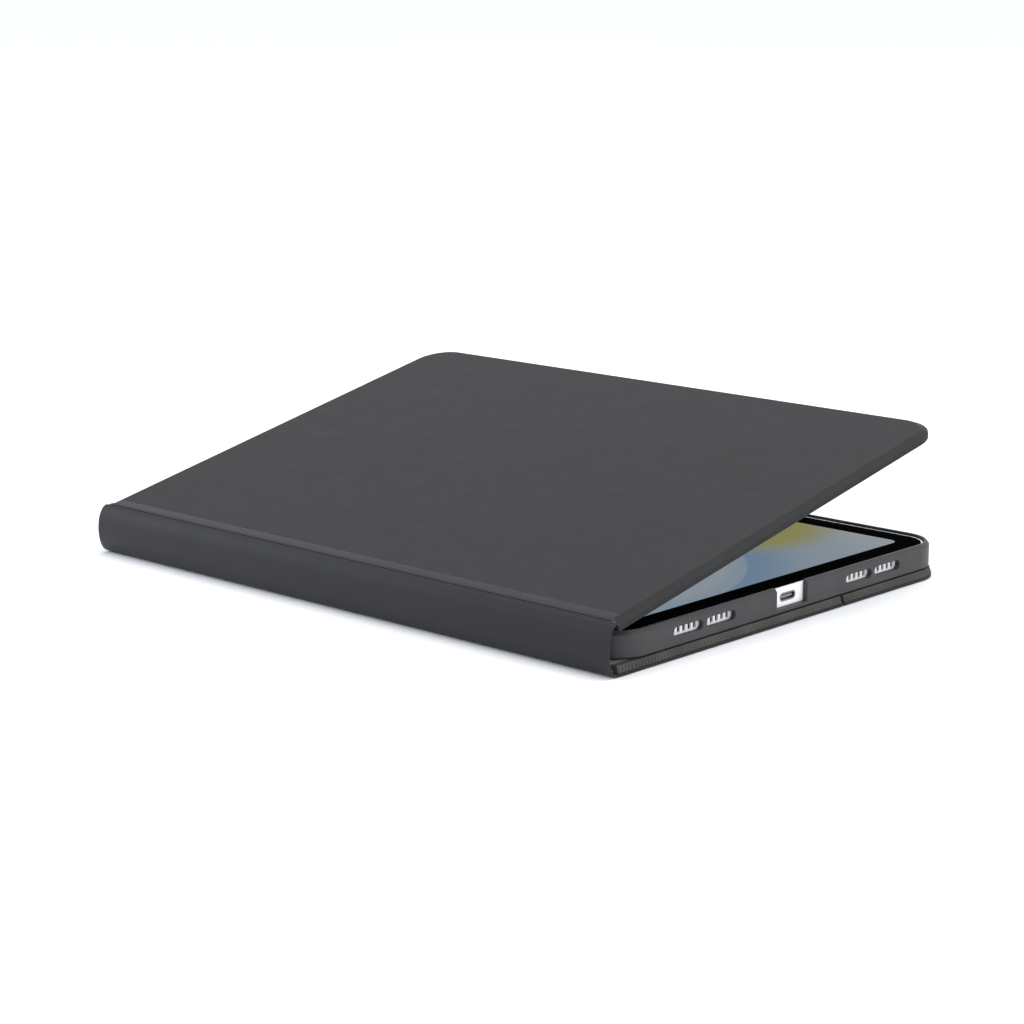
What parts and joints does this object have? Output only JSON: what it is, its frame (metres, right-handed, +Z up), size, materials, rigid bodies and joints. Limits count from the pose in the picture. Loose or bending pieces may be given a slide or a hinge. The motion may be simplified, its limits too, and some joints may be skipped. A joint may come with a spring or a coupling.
{
  "type": "tablet keyboard case",
  "caption": "Folio keyboard case holding a tablet: padded spine, hinged keyboard lid, tablet holder with ports, fold-out stand back and key rows that press.",
  "frame": {"origin": "on the table, at the middle of the case's footprint", "axes": "+X along the spine towards the charging-port side, +Y from the spine to the free edge, +Z up"},
  "size_m": [0.2548, 0.1895, 0.0562],
  "materials": {
    "cover_skin": "soft-touch polyurethane leather, matte charcoal",
    "spine_skin": "soft-touch polyurethane leather, slightly bluish charcoal",
    "board": "stiff fibre board",
    "lining": "brushed microfibre",
    "ribbed_edge": "ribbed woven edging",
    "holder": "satin thermoplastic, charcoal",
    "button": "satin thermoplastic, charcoal",
    "magnet": "nickel-plated magnet",
    "steel": "thin sheet steel",
    "tablet_body": "bead-blasted silver aluminium",
    "bezel": "black border under cover glass",
    "display": "lit display with a plain soft gradient",
    "port": "pale connector liner",
    "camera": "dark lens cover in a ring",
    "battery": "foil pouch",
    "deck": "fine-textured keyboard deck",
    "keycap": "matte black key caps",
    "key_parts": "natural plastic",
    "dome": "silicone",
    "membrane": "printed polyester film",
    "circuit": "solder-masked circuit board",
    "tray": "moulded plastic",
    "light": "clear light pipe",
    "grip": "soft silicone",
    "brass": "sprung contact strip"
  },
  "bodies": {
    "holder": {"back_skin_lower": "cover_skin", "back_board_lower": "board", "back_lining_lower": "lining", "ribbed_edge_lower": "ribbed_edge", "stand_magnets": "magnet", "back_skin_upper": "cover_skin", "back_board_upper": "board", "back_lining_upper": "lining", "ribbed_edge_upper": "ribbed_edge", "holder_shell": "holder", "keeper_plates": "steel", "camera_ring": "holder"},
    "volume_up": {"volume_up_cover": "button"},
    "volume_down": {"volume_down_cover": "button"},
    "power": {"power_cover": "button"},
    "tablet": {"tablet_shell": "tablet_body", "tablet_bezel_glass": "bezel", "tablet_display": "display", "tablet_port": "port", "tablet_camera": "camera", "tablet_battery": "battery"},
    "spine": {"spine_skin": "spine_skin", "spine_lining": "lining", "spine_board": "board"},
    "lid": {"lid_skin": "cover_skin", "keyboard_deck": "deck", "key_scissors": "key_parts", "key_domes": "dome", "key_membrane": "membrane", "key_base_plate": "steel", "keyboard_board": "circuit", "battery_contacts": "brass", "status_light": "light", "slot_strip": "grip", "slot_magnets": "magnet", "closure_magnets": "magnet", "deck_bumpers": "grip"},
    "tray": {"battery_tray": "tray", "coin_cells": "steel"},
    "switch": {"power_switch": "button"},
    "pressed_keys_function_row": {"keys_function_row": "keycap"},
    "pressed_keys_number_row": {"keys_number_row": "keycap"},
    "pressed_keys_upper_row": {"keys_upper_row": "keycap"},
    "pressed_keys_home_row": {"keys_home_row": "keycap"},
    "pressed_keys_lower_row": {"keys_lower_row": "keycap"},
    "pressed_keys_modifier_row": {"keys_modifier_row": "keycap"},
    "pressed_key_space": {"key_space": "keycap"}
  },
  "joints": [
    {"name": "spine_fold", "type": "hinge", "parent": "holder", "child": "spine", "pos_m": [0, -0.09015, 0.0004], "axis": [1, 0, 0], "range_deg": [0, 90]},
    {"name": "lid_fold", "type": "hinge", "parent": "spine", "child": "lid", "pos_m": [0, -0.09085, 0.0172], "axis": [1, 0, 0], "range_deg": [-12.2, 77.8]},
    {"name": "tablet_out", "type": "hinge", "parent": "holder", "child": "tablet", "pos_m": [0, -0.0878, 0.012], "axis": [1, 0, 0], "range_deg": [0, 8]},
    {"name": "volume_up_press", "type": "slide", "parent": "holder", "child": "volume_up", "axis": [0, -1, 0], "range_m": [0, 0.0005], "stiffness_N_per_m": 2500, "springref_m": -0.0002},
    {"name": "volume_down_press", "type": "slide", "parent": "holder", "child": "volume_down", "axis": [0, -1, 0], "range_m": [0, 0.0005], "stiffness_N_per_m": 2500, "springref_m": -0.0002},
    {"name": "power_press", "type": "slide", "parent": "holder", "child": "power", "axis": [1, 0, 0], "range_m": [0, 0.0005], "stiffness_N_per_m": 2500, "springref_m": -0.0002},
    {"name": "tray_slide", "type": "slide", "parent": "lid", "child": "tray", "axis": [-1, 0, 0], "range_m": [0, 0.04]},
    {"name": "switch_slide", "type": "slide", "parent": "lid", "child": "switch", "axis": [1, 0, 0], "range_m": [0, 0.003]},
    {"name": "keys_function_row_press", "type": "slide", "parent": "lid", "child": "pressed_keys_function_row", "axis": [0, -0.2113, 0.9774], "range_m": [0, 0.001], "stiffness_N_per_m": 600, "springref_m": -0.0004},
    {"name": "keys_number_row_press", "type": "slide", "parent": "lid", "child": "pressed_keys_number_row", "axis": [0, -0.2113, 0.9774], "range_m": [0, 0.001], "stiffness_N_per_m": 600, "springref_m": -0.0004},
    {"name": "keys_upper_row_press", "type": "slide", "parent": "lid", "child": "pressed_keys_upper_row", "axis": [0, -0.2113, 0.9774], "range_m": [0, 0.001], "stiffness_N_per_m": 600, "springref_m": -0.0004},
    {"name": "keys_home_row_press", "type": "slide", "parent": "lid", "child": "pressed_keys_home_row", "axis": [0, -0.2113, 0.9774], "range_m": [0, 0.001], "stiffness_N_per_m": 600, "springref_m": -0.0004},
    {"name": "keys_lower_row_press", "type": "slide", "parent": "lid", "child": "pressed_keys_lower_row", "axis": [0, -0.2113, 0.9774], "range_m": [0, 0.001], "stiffness_N_per_m": 600, "springref_m": -0.0004},
    {"name": "keys_modifier_row_press", "type": "slide", "parent": "lid", "child": "pressed_keys_modifier_row", "axis": [0, -0.2113, 0.9774], "range_m": [0, 0.001], "stiffness_N_per_m": 600, "springref_m": -0.0004},
    {"name": "key_space_press", "type": "slide", "parent": "lid", "child": "pressed_key_space", "axis": [0, -0.2113, 0.9774], "range_m": [0, 0.001], "stiffness_N_per_m": 600, "springref_m": -0.0004}
  ]
}
